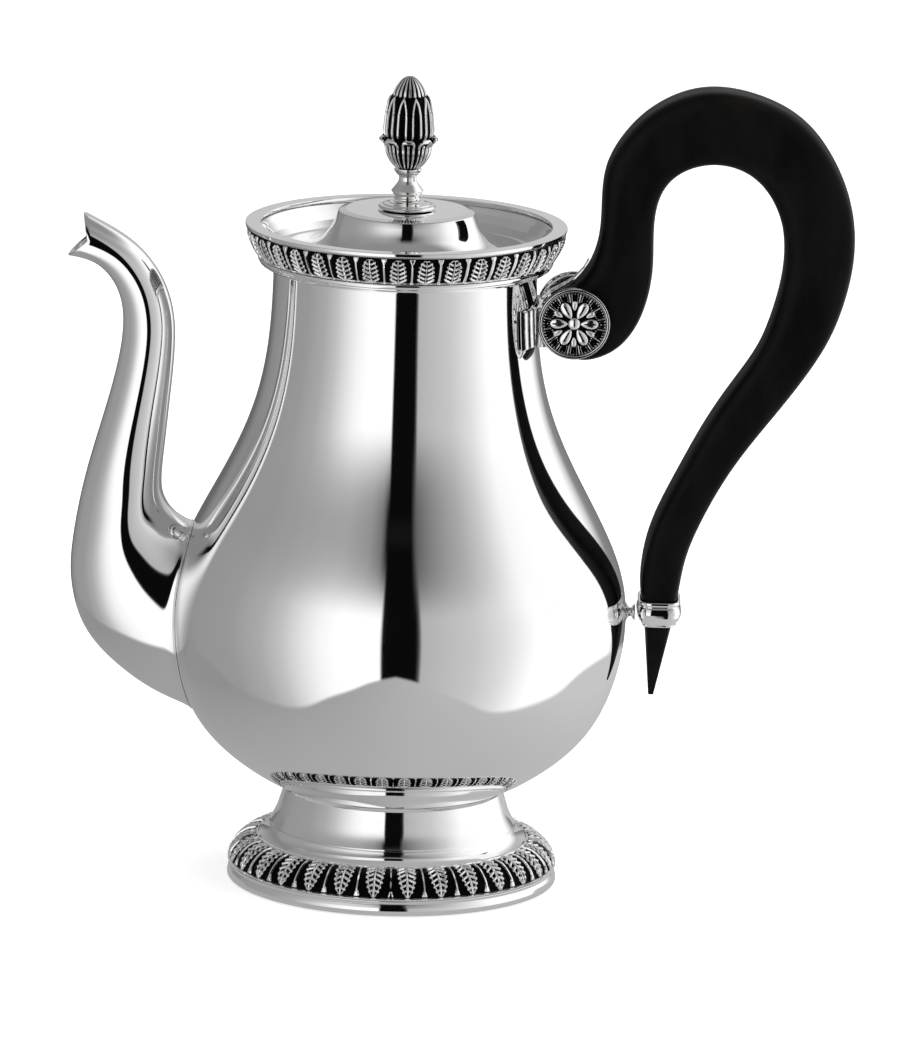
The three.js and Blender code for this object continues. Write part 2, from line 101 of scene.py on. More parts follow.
# The photograph's view, fitted to the outlines: degrees, sensor and lens in mm, places in metres
CAMERA = {"pitch": 12.62, "yaw": 0.36396928, "lean": 1.37, "sensor": 36, "lens": 332.883206,
          "away": 2.835, "height": 0.7437}


# ---------------------------------------------------------------- curves
def smoothstep(low, high, x):
    t = np.clip((np.asarray(x, float) - low) / (high - low), 0, 1)
    return t * t * (3 - 2 * t)


def catmull(points, t):
    """The curve that the CAD model draws through points, at parameters t from 0 to 1."""
    pts = np.asarray(points, float)
    last = len(pts) - 1
    p = last * np.atleast_1d(np.asarray(t, float))
    i = np.minimum(np.floor(p).astype(int), last)
    w = (p - i)[:, None]
    p0 = pts[np.maximum(i - 1, 0)]
    p1 = pts[i]
    p2 = pts[np.minimum(i + 1, last)]
    p3 = pts[np.minimum(i + 2, last)]
    v0, v1 = (p2 - p0) / 2, (p3 - p1) / 2
    cubic = (2 * p1 - 2 * p2 + v0 + v1) * w**3 + (-3 * p1 + 3 * p2 - 2 * v0 - v1) * w**2
    return cubic + v0 * w + p1


def spline(points, knots, count):
    """A natural cubic spline: its curvature has no steps, so it reflects cleanly."""
    pts = np.asarray(points, float)
    n = len(pts)
    h = np.diff(knots)
    system = np.eye(n)
    right = np.zeros((n, 2))
    for i in range(1, n - 1):
        system[i, i - 1 : i + 2] = h[i - 1], 2 * (h[i - 1] + h[i]), h[i]
        right[i] = 6 * ((pts[i + 1] - pts[i]) / h[i] - (pts[i] - pts[i - 1]) / h[i - 1])
    bend = np.linalg.solve(system, right)
    s = np.linspace(0, knots[-1], count)
    i = np.clip(np.searchsorted(knots, s, side="right") - 1, 0, n - 2)
    a, b, step = (knots[i + 1] - s)[:, None], (s - knots[i])[:, None], h[i][:, None]
    curve = (bend[i] * a**3 + bend[i + 1] * b**3) / (6 * step)
    curve += (pts[i] / step - bend[i] * step / 6) * a
    curve += (pts[i + 1] / step - bend[i + 1] * step / 6) * b
    return curve


def smooth_curve(points, count):
    """A spline with its knots a chord apart."""
    chord = np.r_[0, np.cumsum(np.hypot(*np.diff(np.asarray(points, float), axis=0).T))]
    return spline(points, chord, count)


def eased(points, count, spread):
    """A spline with even knots, as the CAD model has, whose small ripples are averaged out over
    spread steps. Its ends are kept."""
    curve = spline(points, np.arange(len(points)), count)
    reach = 3 * spread
    weight = np.exp(-0.5 * (np.arange(-reach, reach + 1) / spread) ** 2)
    weight /= weight.sum()
    before = 2 * curve[0] - curve[reach:0:-1]
    after = 2 * curve[-1] - curve[-2 : -reach - 2 : -1]
    full = np.concatenate([before, curve, after])
    return np.stack([np.convolve(full[:, k], weight, "valid") for k in (0, 1)], -1)


def offset(profile, distance):
    """The profile moved sideways, outwards where it runs upwards."""
    p = np.asarray(profile, float)
    along = np.gradient(p, axis=0)
    length = np.hypot(*along.T)
    return p + distance * np.c_[along[:, 1], -along[:, 0]] / length[:, None]


def filleted(profile, radius, closed, steps=5):
    """The polyline with each corner rounded by up to radius."""
    pts = [np.asarray(p, float) for p in profile]
    out = []
    for i, p in enumerate(pts):
        if not closed and i in (0, len(pts) - 1):
            out.append(p)
            continue
        before, after = pts[i - 1] - p, pts[(i + 1) % len(pts)] - p
        lb, la = np.hypot(*before), np.hypot(*after)
        turn = math.acos(np.clip(before @ after / (lb * la), -1, 1))
        if turn > math.radians(176):
            out.append(p)
            continue
        cut = min(radius / math.tan(turn / 2), 0.42 * lb, 0.42 * la)
        a, b = p + before / lb * cut, p + after / la * cut
        for k in range(steps + 1):
            t = k / steps
            out.append((1 - t) ** 2 * a + 2 * t * (1 - t) * p + t**2 * b)
    return np.array(out)


def dense(profile, spacing, closed=False):
    """The polyline with no segment longer than spacing."""
    pts = list(profile) + ([profile[0]] if closed else [])
    out = []
    for a, b in zip(pts[:-1], pts[1:]):
        a, b = np.asarray(a, float), np.asarray(b, float)
        count = max(1, int(math.ceil(np.hypot(*(b - a)) / spacing)))
        out += [a + (b - a) * k / count for k in range(count)]
    if not closed:
        out.append(np.asarray(pts[-1], float))
    return np.array(out)


BODY_OUTER = smooth_curve(BODY_PROFILE, 260)
BODY_WIDEST = max(high.y - low.y for low, high in (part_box("body_bowl"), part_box("body_shell"))) * 500
BODY_OUTER[:, 0] *= min(1, BODY_WIDEST / BODY_OUTER[:, 0].max())


def body_radius(z):
    return np.interp(z, BODY_OUTER[:, 1], BODY_OUTER[:, 0])


def unit(vectors):
    return vectors / np.maximum(np.linalg.norm(vectors, axis=-1, keepdims=True), 1e-6)


def revolved(r, z, angle):
    """Points at radius r and height z, at each angle about Z."""
    r, z, angle = np.broadcast_arrays(r, z, angle)
    return np.stack([r * np.cos(angle), r * np.sin(angle), z], -1)


def about_scroll(r, y, angle):
    """Points at radius r and distance y across, at each angle about the socket's pin."""
    r, y, angle = np.broadcast_arrays(r, y, angle)
    return np.stack([SCROLL_X + r * np.cos(angle), y, SCROLL_Z + r * np.sin(angle)], -1)


# ---------------------------------------------------------------- meshes
class Surface:
    """Vertices, faces and the height of the relief at each vertex, 0 in the ground and 1 on top."""

    def __init__(self):
        self.points, self.faces, self.relief, self.count = [], [], [], 0

    def grid(self, points, close_u=False, close_v=True, relief=None):
        """points is rows x columns x 3. close_u joins the last row to the first."""
        rows, columns = points.shape[:2]
        first = self.count
        self.points.append(points.reshape(-1, 3))
        height = np.ones((rows, columns)) if relief is None else relief
        self.relief.append(np.asarray(height, float).reshape(-1))
        self.count += rows * columns
        u = np.arange(rows if close_u else rows - 1)
        v = np.arange(columns if close_v else columns - 1)
        i, j = np.meshgrid(u, v, indexing="ij")
        i2, j2 = (i + 1) % rows, (j + 1) % columns
        quads = np.stack([i * columns + j, i * columns + j2, i2 * columns + j2, i2 * columns + j], -1)
        self.faces += (quads.reshape(-1, 4) + first).tolist()
        return first, rows, columns

    def fan(self, start, columns, centre, height=1.0):
        """Closes the row of columns vertices that begins at start with a fan."""
        self.points.append(np.array([centre], float))
        self.relief.append(np.array([height]))
        tip = self.count
        self.count += 1
        self.faces += [[start + j, start + (j + 1) % columns, tip] for j in range(columns)]

    def loft(self, points, relief=None):
        """A bar of closed rings, with both ends fanned shut."""
        first, rows, columns = self.grid(points, relief=relief)
        self.fan(first, columns, points[0].mean(0))
        self.fan(first + (rows - 1) * columns, columns, points[-1].mean(0))

    def turn(self, profile, around=ROUND, closed=True):
        """A lathe about Z. An open profile begins and ends on the axis."""
        p = np.asarray(profile, float)
        angle = np.arange(around) / around * TAU
        rows = p if closed else p[1:-1]
        first, _, _ = self.grid(revolved(rows[:, :1], rows[:, 1:], angle), close_u=closed)
        if not closed:
            self.fan(first, around, (0, 0, p[0, 1]))
            self.fan(first + (len(rows) - 1) * around, around, (0, 0, p[-1, 1]))
        return self

    def make(self, name, sharp=38):
        mesh = bpy.data.meshes.new(name)
        points = np.concatenate(self.points)
        points = (points + np.array([AXIS_X, 0, 0])) / 1000
        mesh.from_pydata(points.tolist(), [], self.faces)
        height = mesh.attributes.new("relief", "FLOAT", "POINT")
        height.data.foreach_set("value", np.concatenate(self.relief).astype(np.float32))
        mesh.update()
        outward(mesh)
        mesh.polygons.foreach_set("use_smooth", np.ones(len(mesh.polygons), bool))
        mesh.set_sharp_from_angle(angle=math.radians(sharp))
        obj = bpy.data.objects.new(name, mesh)
        bpy.context.scene.collection.objects.link(obj)
        return obj


def outward(mesh):
    bm = bmesh.new()
    bm.from_mesh(mesh)
    bmesh.ops.recalc_face_normals(bm, faces=bm.faces)
    bm.to_mesh(mesh)
    bm.free()


def turned(name, profile, around=ROUND, radius=0.25, closed=True, spacing=1.2):
    line = dense(filleted(profile, radius, closed), spacing, closed)
    return Surface().turn(line, around, closed).make(name)


def superellipse(power, around):
    """Points round a unit superellipse at even steps of its length."""
    angle = np.linspace(0, TAU, 4001)
    c, s = np.cos(angle), np.sin(angle)
    x = np.sign(c) * np.abs(c) ** (2 / power)
    y = np.sign(s) * np.abs(s) ** (2 / power)
    length = np.r_[0, np.cumsum(np.hypot(np.diff(x), np.diff(y)))]
    at = np.arange(around) / around * length[-1]
    return np.interp(at, length, x), np.interp(at, length, y)


def section_rings(outer, inner, half, power=2.0, around=64):
    """Rings between edge points in the XZ plane, half as wide as half says along Y."""
    outer, inner = np.asarray(outer, float), np.asarray(inner, float)
    u, v = superellipse(power, around)
    middle, arm = (outer + inner) / 2, (outer - inner) / 2
    half = np.broadcast_to(half, len(outer))
    x = middle[:, :1] + arm[:, :1] * u
    z = middle[:, 1:] + arm[:, 1:] * u
    return np.stack([x, half[:, None] * v, z], -1)


# ---------------------------------------------------------------- relief
def ridge(distance, width):
    """1 on a line, falling to 0 at width from it."""
    return 1 - smoothstep(0.35 * width, width, np.abs(distance))


def feather(u, v, low, high, barbs, slope, tip=0.3):
    """A leaf of slanted barbs on a midrib. u is across in pitches, 0 at its middle, and v runs from
    its foot, 0, to its tip, 1. low and high are half its width at the foot and near the tip."""
    top = np.clip((v - (1 - tip)) / tip, 0, 1)
    foot = np.sqrt(smoothstep(-0.1, 0.14, v))
    width = (low + (high - low) * smoothstep(0.2, 1.0, v)) * foot
    width = width * np.sqrt(np.clip(1 - top**2.4, 0, 1))
    wave = np.cos(TAU * (v * barbs - slope * np.abs(u) / low))
    inside = width * (0.91 + 0.09 * wave) - np.abs(u)
    leaf = smoothstep(0, 0.03, inside) * (v > 0) * (v < 1)
    barb = smoothstep(-0.25, 0.75, wave) * smoothstep(0.02, 0.06, np.abs(u))
    loop = (0.62 + 0.38 * smoothstep(0.75, 0.9, v)) * ridge(inside - 0.032, 0.045)
    rib = ridge(u, 0.042)
    return leaf * highest([barb, rib, loop, 0.04 + 0 * u])


def pin(u, v, half, head, low, high):
    """A thin upright pin at u = 0 whose top, at v = high, widens to head."""
    width = half + (head - half) * smoothstep(high - 0.17, high, v)
    shaft = smoothstep(1.25 * width, 0.75 * width, np.abs(u))
    return shaft * smoothstep(low - 0.03, low, v) * smoothstep(high + 0.02, high, v)


def highest(parts):
    """The highest of several heights, whatever their shapes."""
    return np.maximum.reduce(np.broadcast_arrays(*parts))


def wrapped(x):
    return (x + 0.5) % 1 - 0.5


def relief_ring(line, back, angle, height, depth, behind):
    """A closed ring whose outer face, line, is cut depth deep where height is 0. back closes it,
    with behind for its height."""
    inward = offset(line, -1.0) - line
    face = line[:, None] + inward[:, None] * ((1 - height) * depth)[..., None]
    rz = np.concatenate([face, np.broadcast_to(back[:, None], (len(back), len(angle), 2))])
    shown = np.concatenate([height, np.full((len(back), len(angle)), behind)])
    surface = Surface()
    surface.grid(revolved(rz[..., 0], rz[..., 1], angle), close_u=True, relief=shown)
    return surface


def relief_band(profile, back, pitches, offset_deg, per_pitch, rows, depth, height_of):
    """A ring of pitches alike. height_of takes the places across from a pin and from a leaf, in
    pitches, and the place up the band."""
    around = pitches * per_pitch
    angle = np.arange(around) / around * TAU
    turn = (np.degrees(angle) + 90 - offset_deg) / 360 * pitches
    v = np.linspace(0, 1, rows)[:, None]
    height = height_of(wrapped(turn)[None, :], wrapped(turn + 0.5)[None, :], v)
    height = np.broadcast_to(height, (rows, around))
    line = smooth_curve(profile, rows)
    return relief_ring(line, filleted(back, 0.2, False), angle, height, depth, 1.0)


# ---------------------------------------------------------------- pot
def body_shell():
    inner = offset(BODY_OUTER, -WALL)[::-1]
    top = [(39.15, 190.2), (38.2, 190.2)]
    line = np.concatenate([BODY_OUTER[:-2], top, inner[2:]])
    obj = Surface().turn(line, 360).make("body_surface")
    cutter = Surface()
    k = np.arange(24) / 24 * TAU
    hole = STRAINER["r"]
    for radius, count in STRAINER["rings"]:
        for a in np.arange(count) / count * TAU:
            y, z = radius * math.cos(a), STRAINER["z"] + radius * math.sin(a)
            ends = [[(x, y + hole * math.cos(b), z + hole * math.sin(b)) for b in k]
                    for x in STRAINER["through"]]
            cutter.loft(np.array(ends))
    tool = cutter.make("strainer_tool")
    cut = obj.modifiers.new("strainer", "BOOLEAN")
    cut.operation, cut.solver, cut.object = "DIFFERENCE", "MANIFOLD", tool
    graph = bpy.context.evaluated_depsgraph_get()
    mesh = bpy.data.meshes.new_from_object(obj.evaluated_get(graph))
    obj.modifiers.clear()
    obj.data = mesh
    bpy.data.objects.remove(tool)
    return obj


class Spout:
    """The spout's skin as a function of its parameter, 0 at the root, and of the angle round it."""

    STEPS = 1401
    EASE = 40  # steps that its outlines are averaged over
    LENGTH = 210.0

    def __init__(self, around=128):
        self.t = np.linspace(0, 1, self.STEPS)
        self.low, self.high = [
            eased([s[k] for s in SPOUT_SECTIONS], self.STEPS, self.EASE) for k in (0, 1)
        ]
        self.angle = np.arange(around) / around * TAU

    def at(self, t, column, inset):
        low, high = [np.stack([np.interp(t, self.t, edge[:, k]) for k in (0, 1)], -1)
                     for edge in (self.low, self.high)]
        half = SPOUT_TIP_B + (SPOUT_ROOT_B - SPOUT_TIP_B) * (0.5 + 0.5 * np.cos(math.pi * t))
        middle, arm = (low + high) / 2, (low - high) / 2
        reach = np.hypot(arm[..., 0], arm[..., 1])
        angle = self.angle[column]
        xz = middle + arm / reach[..., None] * ((reach - inset) * np.cos(angle))[..., None]
        return np.stack([xz[..., 0], (half - inset) * np.sin(angle), xz[..., 1]], -1)

    def ends(self, inset, clearance):
        """For each column, the parameters where the skin leaves the body and meets the mouth."""
        t = self.t[:, None]
        column = np.arange(len(self.angle))[None, :]
        p = self.at(np.broadcast_to(t, (len(self.t), len(self.angle))), column, inset)
        gap = np.hypot(p[..., 0], p[..., 1]) - body_radius(p[..., 2]) - clearance
        cut_z = [z for _, z in SPOUT_MOUTH]
        kept = p[..., 0] - np.interp(p[..., 2], cut_z, [x for x, _ in SPOUT_MOUTH])
        half = len(t) // 2
        starts, stops = [], []
        for j in range(len(self.angle)):
            buried = np.where(gap[:half, j] < 0)[0][-1]
            g0, g1 = gap[buried, j], gap[buried + 1, j]
            starts.append(self.t[buried] + self.t[1] * g0 / (g0 - g1))
            out = half + np.where(kept[half:, j] < 0)[0][0]
            k0, k1 = kept[out - 1, j], kept[out, j]
            stops.append(self.t[out - 1] + self.t[1] * k0 / (k0 - k1))
        return np.array(starts), np.array(stops)

    def skin(self, inset, clearance, rows, flare=0.0):
        """The skin between its ends, swollen by flare where it meets the body."""
        start, stop = self.ends(inset, clearance)
        t = start + (stop - start) * np.linspace(0, 1, rows)[:, None]
        column = np.broadcast_to(np.arange(len(self.angle)), t.shape)
        near = (t - start) * self.LENGTH
        return self.at(t, column, inset - flare * np.exp(-((near / 2.4) ** 1.5)))


def spout():
    form = Spout()
    outer = form.skin(0, 0.02, 300, flare=0.35)
    inner = form.skin(WALL, 0.02, 200)[::-1]
    lip = 0.5 * (outer[-1] + inner[0]) + 0.35 * unit(outer[-1] - outer[-4])
    outer[-1] = outer[-1] * 0.82 + lip * 0.18
    inner[0] = inner[0] * 0.82 + lip * 0.18
    surface = Surface()
    surface.grid(np.concatenate([outer, lip[None], inner]), close_u=True)
    # the bead of solder and chasing that follows the seam
    seam = form.skin(0, 0.35, 300)[0]
    seam = seam + 0.35 * (form.skin(-0.6, 0.35, 300)[0] - seam)
    ahead = unit(np.roll(seam, -1, 0) - np.roll(seam, 1, 0))
    side = unit(seam * [1, 1, 0])
    side = unit(side - (side * ahead).sum(1, keepdims=True) * ahead)
    other = np.cross(ahead, side)
    k = (np.arange(12) / 12 * TAU)[None, :, None]
    bead = seam[:, None] + 0.32 * (side[:, None] * np.cos(k) + other[:, None] * np.sin(k))
    surface.grid(bead, close_u=True)
    return surface.make("spout_surface")


def rim_frieze():
    face = [(44.3, 190.4), (45.4, 192), (46.7, 194.5), (47.5, 196.8), (47.6, 198.7)]
    back = [(44.8, 198.7), (44.3, 195.7), (42.6, 192.4), (41, 190.9), (41, 190.4)]

    def height(to_pin, to_leaf, v):
        leaf = feather(to_leaf, (v - 0.02) / 0.93, 0.33, 0.27, 5.3, 1.0, tip=0.32)
        pins = pin(to_pin, v, 0.042, 0.1, 0.03, 0.95)
        edge = np.maximum(smoothstep(0.035, 0.0, v), smoothstep(0.972, 1.0, v))
        return highest([leaf, pins, edge + 0 * to_pin])

    return relief_band(face, back, 35, 2.5, 44, 46, 0.75, height).make("rim_frieze_relief", 60)


def foot_leaf_band():
    face = [(49.5, 4.9), (49.2, 6.8), (48.4, 8.6), (47, 10.3), (45.2, 11.8), (43, 12.7), (40.6, 12.9)]
    back = [(40.6, 11.5), (42.4, 11.2), (44.4, 10.4), (46.3, 8.8), (47.5, 6.8), (48, 4.9)]

    def height(to_pin, to_leaf, v):
        leaf = feather(to_leaf, (0.97 - v) / 0.92, 0.32, 0.24, 6.3, 1.0, tip=0.55)
        pins = pin(to_pin, 1 - v, 0.03, 0.08, 0.06, 0.93)
        scallop = 0.955 + 0.02 * np.abs(np.cos(math.pi * to_pin * 2))
        edge = np.maximum(smoothstep(0.05, 0.02, v) + 0 * to_pin, smoothstep(-0.012, 0.012, v - scallop))
        return highest([leaf, pins, edge])

    return relief_band(face, back, 30, 0, 48, 56, 0.8, height).make("foot_leaf_relief", 60)


def neck_ring():
    line = [
        (39.6, 186.9), (41.3, 187.1), (42.6, 187.7), (43.5, 188.3), (43.6, 188.75), (43.9, 188.95),
        (44.1, 189.5), (43.9, 190.1), (39.6, 190.1),
    ]
    return turned("neck_moulding", line, radius=0.3)


def rim_lip():
    line = [(43.5, 199), (47.55, 199), (47.6, 199.18), (47.95, 199.2), (48, 200.2), (43.5, 200.2)]
    return turned("rim_lip_surface", line, radius=0.28)


def lid_gallery():
    line = [
        (35.4, 190.6), (39.4, 190.6), (41.8, 192.2), (43.9, 195.8), (44.5, 198.7), (43.5, 198.7),
        (42.5, 196.8), (40.9, 194.4), (39, 192.5), (37.4, 191.75), (35.4, 191.6),
    ]
    return turned("gallery_surface", line, radius=1.6, spacing=0.6)


def foot_pedestal():
    neck = [(36.9, 16.9), (35.2, 20.2), (34, 23.9), (33.3, 26.2), (32.9, 27.6)]
    toe = smooth_curve([(40.2, 13), (38.9, 13.9), (37.8, 15.2), (37.25, 16.5)], 16)
    inner = offset(smooth_curve([(40.2, 13), (38.5, 14.7), *neck], 50), -WALL)[::-1]
    line = np.concatenate([toe, [(37.1, 16.75)], smooth_curve(neck, 40), inner])
    return Surface().turn(line, ROUND).make("foot_pedestal_surface")


def foot_rim():
    line = [
        (45.5, 0), (49.3, 0), (49.6, 0.35), (49.6, 0.7), (49.52, 1.5), (49.3, 2.4), (48.95, 3.2),
        (48.8, 3.45), (48.8, 3.65), (49.2, 3.85), (49.2, 4.5), (48, 4.6), (46.6, 3), (45.5, 1.6),
    ]
    return turned("foot_rim_surface", line, radius=0.25, spacing=0.5)


def body_base():
    line = smooth_curve([(0, 26.4), (9, 26.55), (18, 27), (32.2, 28.2)], 40)
    back = smooth_curve([(31.7, 29.3), (18, 28.2), (9, 27.75), (0, 27.6)], 40)
    return Surface().turn(np.concatenate([line, back]), ROUND, closed=False).make("base_plate")


# ---------------------------------------------------------------- lid and finial
def lid():
    top = smooth_curve([(36.8, 192.85), (31.4, 193.05), (28.2, 193.8), (25.9, 195), (24.1, 196.7),
                        (22.6, 198.7), (21.6, 200.7), (20.9, 202.6)], 90)
    shoulder = filleted([(20.9, 202.6), (20.3, 204.1), (18.2, 204.7), (1.5, 204.7)], 0.6, False)
    under = [
        (1.5, 203.6), (18, 203.6), (19.8, 202.4), (20, 200.5), (20.8, 198.2), (22.1, 196.2),
        (24.2, 194.2), (27.2, 192.8), (31, 191.9), (36.6, 191.9), (36.8, 192.1), (36.8, 192.6),
    ]
    line = np.concatenate([top[1:], shoulder[1:], filleted(under, 0.4, False)])
    return Surface().turn(dense(line, 0.8, True), ROUND).make("lid_surface")


def lid_bezel():
    line = [(33.9, 184), (34.9, 184), (34.9, 191.6), (33.9, 191.6)]
    return turned("lid_bezel_surface", line, radius=0.2)


def finial_foot():
    line = [
        (1.5, 205), (8.3, 205), (8.6, 205.5), (8.2, 206), (7.2, 206.15), (7, 206.45), (5.6, 206.75),
        (5.2, 207), (4.2, 207.05), (3.9, 207.3), (1.5, 207.3),
    ]
    return turned("finial_foot_surface", line, 160, 0.2, spacing=0.3)


def finial_knop():
    line = [
        (1.5, 207.6), (3.9, 207.6), (3.9, 208), (3.55, 208.4), (4.2, 209.3), (4.85, 210.3),
        (4, 211.4), (3.2, 212.4), (2.7, 213.3), (2.6, 214.2), (2.65, 214.9), (3.1, 215.1),
        (3.5, 215.5), (3.55, 215.9), (3.95, 216.1), (4.1, 216.7), (4, 217.1), (1.5, 217.1),
    ]
    return turned("finial_knop_surface", line, 160, 0.18, spacing=0.3)


def finial_calyx():
    line = smooth_curve([(3.9, 217.4), (5.2, 218.7), (6.2, 220.3), (7, 222.5), (7.5, 224.4),
                         (8.3, 225.1), (8.8, 225.9), (8.35, 226.6), (7.6, 226.8)], 90)
    back = np.array([(6.9, 226.6), (6.3, 223.6), (5, 220.7), (2.6, 218.9), (1.5, 218.9), (1.5, 217.4)])
    leaves, per = 9, 48
    angle = np.arange(leaves * per) / (leaves * per) * TAU
    u = wrapped((np.degrees(angle) + 90) / 360 * leaves)[None, :]
    v = np.linspace(0, 1, len(line))[:, None]
    width = 0.42 * np.sqrt(np.clip(1 - np.clip((v - 0.62) / 0.4, 0, 1) ** 2.2, 0, 1))
    inside = width - np.abs(u)
    border = ridge(inside - 0.09, 0.12)
    rib = ridge(u, 0.1) * smoothstep(0.74, 0.66, v)
    hood = smoothstep(0.76, 0.84, v)
    height = smoothstep(0, 0.05, inside) * highest([border, rib, hood, 0.02 + 0 * border])
    depth = 0.55 + 0.75 * smoothstep(0.7, 0.95, v)
    # the calyx's back gets relief 0, so the silver paints it with the ground's painted shade
    return relief_ring(line, back, angle, height, depth, 0.0).make("finial_calyx_relief", 60)


def finial_bud():
    lower = smooth_curve([(2.3, 219.2), (4.5, 221), (5.9, 223.8), (6.6, 226.4)], 12)
    side = smooth_curve([(7.35, 226.9), (7.7, 228.2), (7.65, 230), (7.35, 233), (6.9, 235.6),
                         (6.35, 237.8), (5.6, 239.2)], 80)
    cap = smooth_curve([(4.95, 239.7), (4.8, 240.3), (4.3, 241.4), (3.5, 242.6), (2.5, 243.7),
                        (1.4, 244.5), (0.25, 244.88)], 40)
    line = np.concatenate([lower, side, cap])
    leaves, per = 10, 48
    around = leaves * per
    angle = np.arange(around) / around * TAU
    turn = (np.degrees(angle) + 90 - 1.5) / 360 * leaves
    u = wrapped(turn + 0.5)[None, :]
    v = np.linspace(0, 1, len(side))[:, None]
    width = 0.37 * np.clip(1 - np.clip((v - 0.45) / 0.56, 0, 1) ** 2.3, 0, 1) ** 0.8
    inside = width - np.abs(u)
    border = smoothstep(0, 0.05, inside) * (1 - smoothstep(0.13, 0.2, inside))
    leafed = np.maximum(border, 0.16 * ridge(u, 0.07) * smoothstep(0.0, 0.04, inside))
    flutes = 0.5 + 0.5 * np.cos(TAU * (turn * 2))[None, :]
    s = np.linspace(0, 1, len(cap))[:, None]
    fluted = smoothstep(0.3, 0.75, flutes) * smoothstep(1.0, 0.9, s) + smoothstep(0.92, 1, s)
    # the bud's lower part, down inside the calyx, gets relief 0 and so the silver's painted shade
    height = np.concatenate([np.zeros((len(lower), around)), leafed, np.clip(fluted, 0, 1)])
    inward = offset(line, -1.0) - line
    deep = np.concatenate([np.zeros((len(lower), 1)), 0.85 - 0.25 * v, 0.5 * (1 - s)])
    face = line[:, None] + inward[:, None] * ((1 - height) * deep)[..., None]
    surface = Surface()
    first, rows, _ = surface.grid(revolved(face[..., 0], face[..., 1], angle), relief=height)
    surface.fan(first + (rows - 1) * around, around, (0, 0, 244.9))
    # the screw hole under the bud
    hole_low, hole_high = 219.2, 224.3
    start, _, _ = surface.grid(revolved(1.5, np.array([[hole_low], [hole_high]]), angle))
    surface.fan(start + around, around, (0, 0, hole_high))
    surface.faces += [[first + j, first + (j + 1) % around, start + (j + 1) % around, start + j]
                      for j in range(around)]
    return surface.make("finial_bud_relief", 60)


def finial_stud():
    z = np.linspace(190.2, 223.8, 560)[:, None]
    angle = (np.arange(40) / 40 * TAU)[None, :]
    thread = 0.5 + 0.5 * np.cos(TAU * z / 0.7 - angle)
    end = np.minimum(smoothstep(190, 191.2, z), smoothstep(224, 222.8, z))
    surface = Surface()
    surface.loft(revolved(0.85 + (0.1 + 0.25 * thread) * end, z, angle), relief=0.3 + 0.7 * thread)
    return surface.make("finial_stud_surface")


def finial_washer():
    line = [(1.5, 202.4), (5.5, 202.4), (5.5, 203.3), (1.5, 203.3)]
    return turned("finial_washer_surface", line, 96, 0.15, spacing=0.4)


def finial_nut():
    angle = np.arange(120) / 120 * TAU
    flat = 3.6 * math.cos(math.pi / 6)
    hexagon = flat / np.cos((angle + math.pi / 6) % (math.pi / 3) - math.pi / 6)
    sides = ((199.6, 3.1), (199.8, 3.35), (200.05, 3.6), (201.65, 3.6), (201.9, 3.35), (202.1, 3.1))
    rings = [revolved(np.minimum(hexagon, limit), z, angle) for z, limit in sides]
    rings += [revolved(1.5, z, angle) for z in (202.1, 199.6)]
    surface = Surface()
    surface.grid(np.array(rings), close_u=True)
    return surface.make("finial_nut_surface", 30)


# ---------------------------------------------------------------- handle and its fittings
def handle():
    steps = 420
    outer, inner = [eased([s[k] for s in HANDLE_SECTIONS], steps, 6) for k in (0, 1)]
    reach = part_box("handle")[1].x * 1000 - AXIS_X
    outer[:, 0] -= max(0.0, outer[:, 0].max() - reach)
    count = len(HANDLE_SECTIONS)
    share = np.interp(
        np.linspace(0, count - 1, steps), np.arange(count), [s[2] for s in HANDLE_SECTIONS]
    )
    rings = section_rings(outer, inner, HANDLE_B * share, 4.5, 112)
    # the squared end by the neck is eased at its edges
    head = []
    middle = rings[0].mean(0)
    for x, scale in ((0.0, 0.93), (0.25, 0.965), (0.6, 0.988)):
        ring = middle + (rings[0] - middle) * scale
        ring[:, 0] = rings[0][:, 0] + x * 0.6
        head.append(ring)
    keep = rings[:, :, 0].min(1) > rings[0][:, 0].max() + 0.75
    surface = Surface()
    surface.loft(np.concatenate([np.array(head), rings[int(np.argmax(keep)) :]]))
    return surface.make("handle_wood", 50)


def rounded_end(distance, radius):
    """How far a quarter round has risen at a distance from its start, from 0 to 1."""
    return np.sqrt(np.clip(1 - (1 - np.minimum(1.0, distance / radius)) ** 2, 0, 1))


def saddle_wing(side):
    """The thin end of the saddle that hugs the neck, with three upright mouldings."""
    z = np.linspace(SADDLE_LOW + 0.02, SADDLE_HIGH - 0.02, 40)[:, None]
    wall = body_radius(z)
    # it runs from just inside the cheek to its end, as angles about the pot's axis
    neck = 40.2
    near = math.asin((CHEEK_OUT - 0.9) / neck)
    far = math.asin(WING_HALF / (neck + 1))
    t = np.linspace(0, 1, 73)
    back_t = np.linspace(1, 0, 25)
    mould = 0.5 - 0.5 * np.cos(TAU * (3 * t))
    raised = (0.62 + 0.38 * mould) * (0.35 + 0.65 * rounded_end(1 - t, 0.08))
    ease = rounded_end(np.minimum(z - z[0], z[-1] - z), 0.6)
    r = wall + 0.35 + (WING_T - 0.4) * raised * (0.45 + 0.55 * ease)
    outer = revolved(r, z, side * (near + (far - near) * t))
    outer[..., 0] = np.minimum(outer[..., 0], WING_END_X)
    inner = revolved(wall + GAP, z, side * (near + (far - near) * back_t))
    # painted shade: the grooves between the wing's mouldings get low relief, so the cast silver darkens
    # them
    grooves = np.r_[0.1 + 0.9 * mould, np.ones(len(back_t))]
    return np.concatenate([outer, inner], 1), np.broadcast_to(grooves, (len(z), len(grooves)))


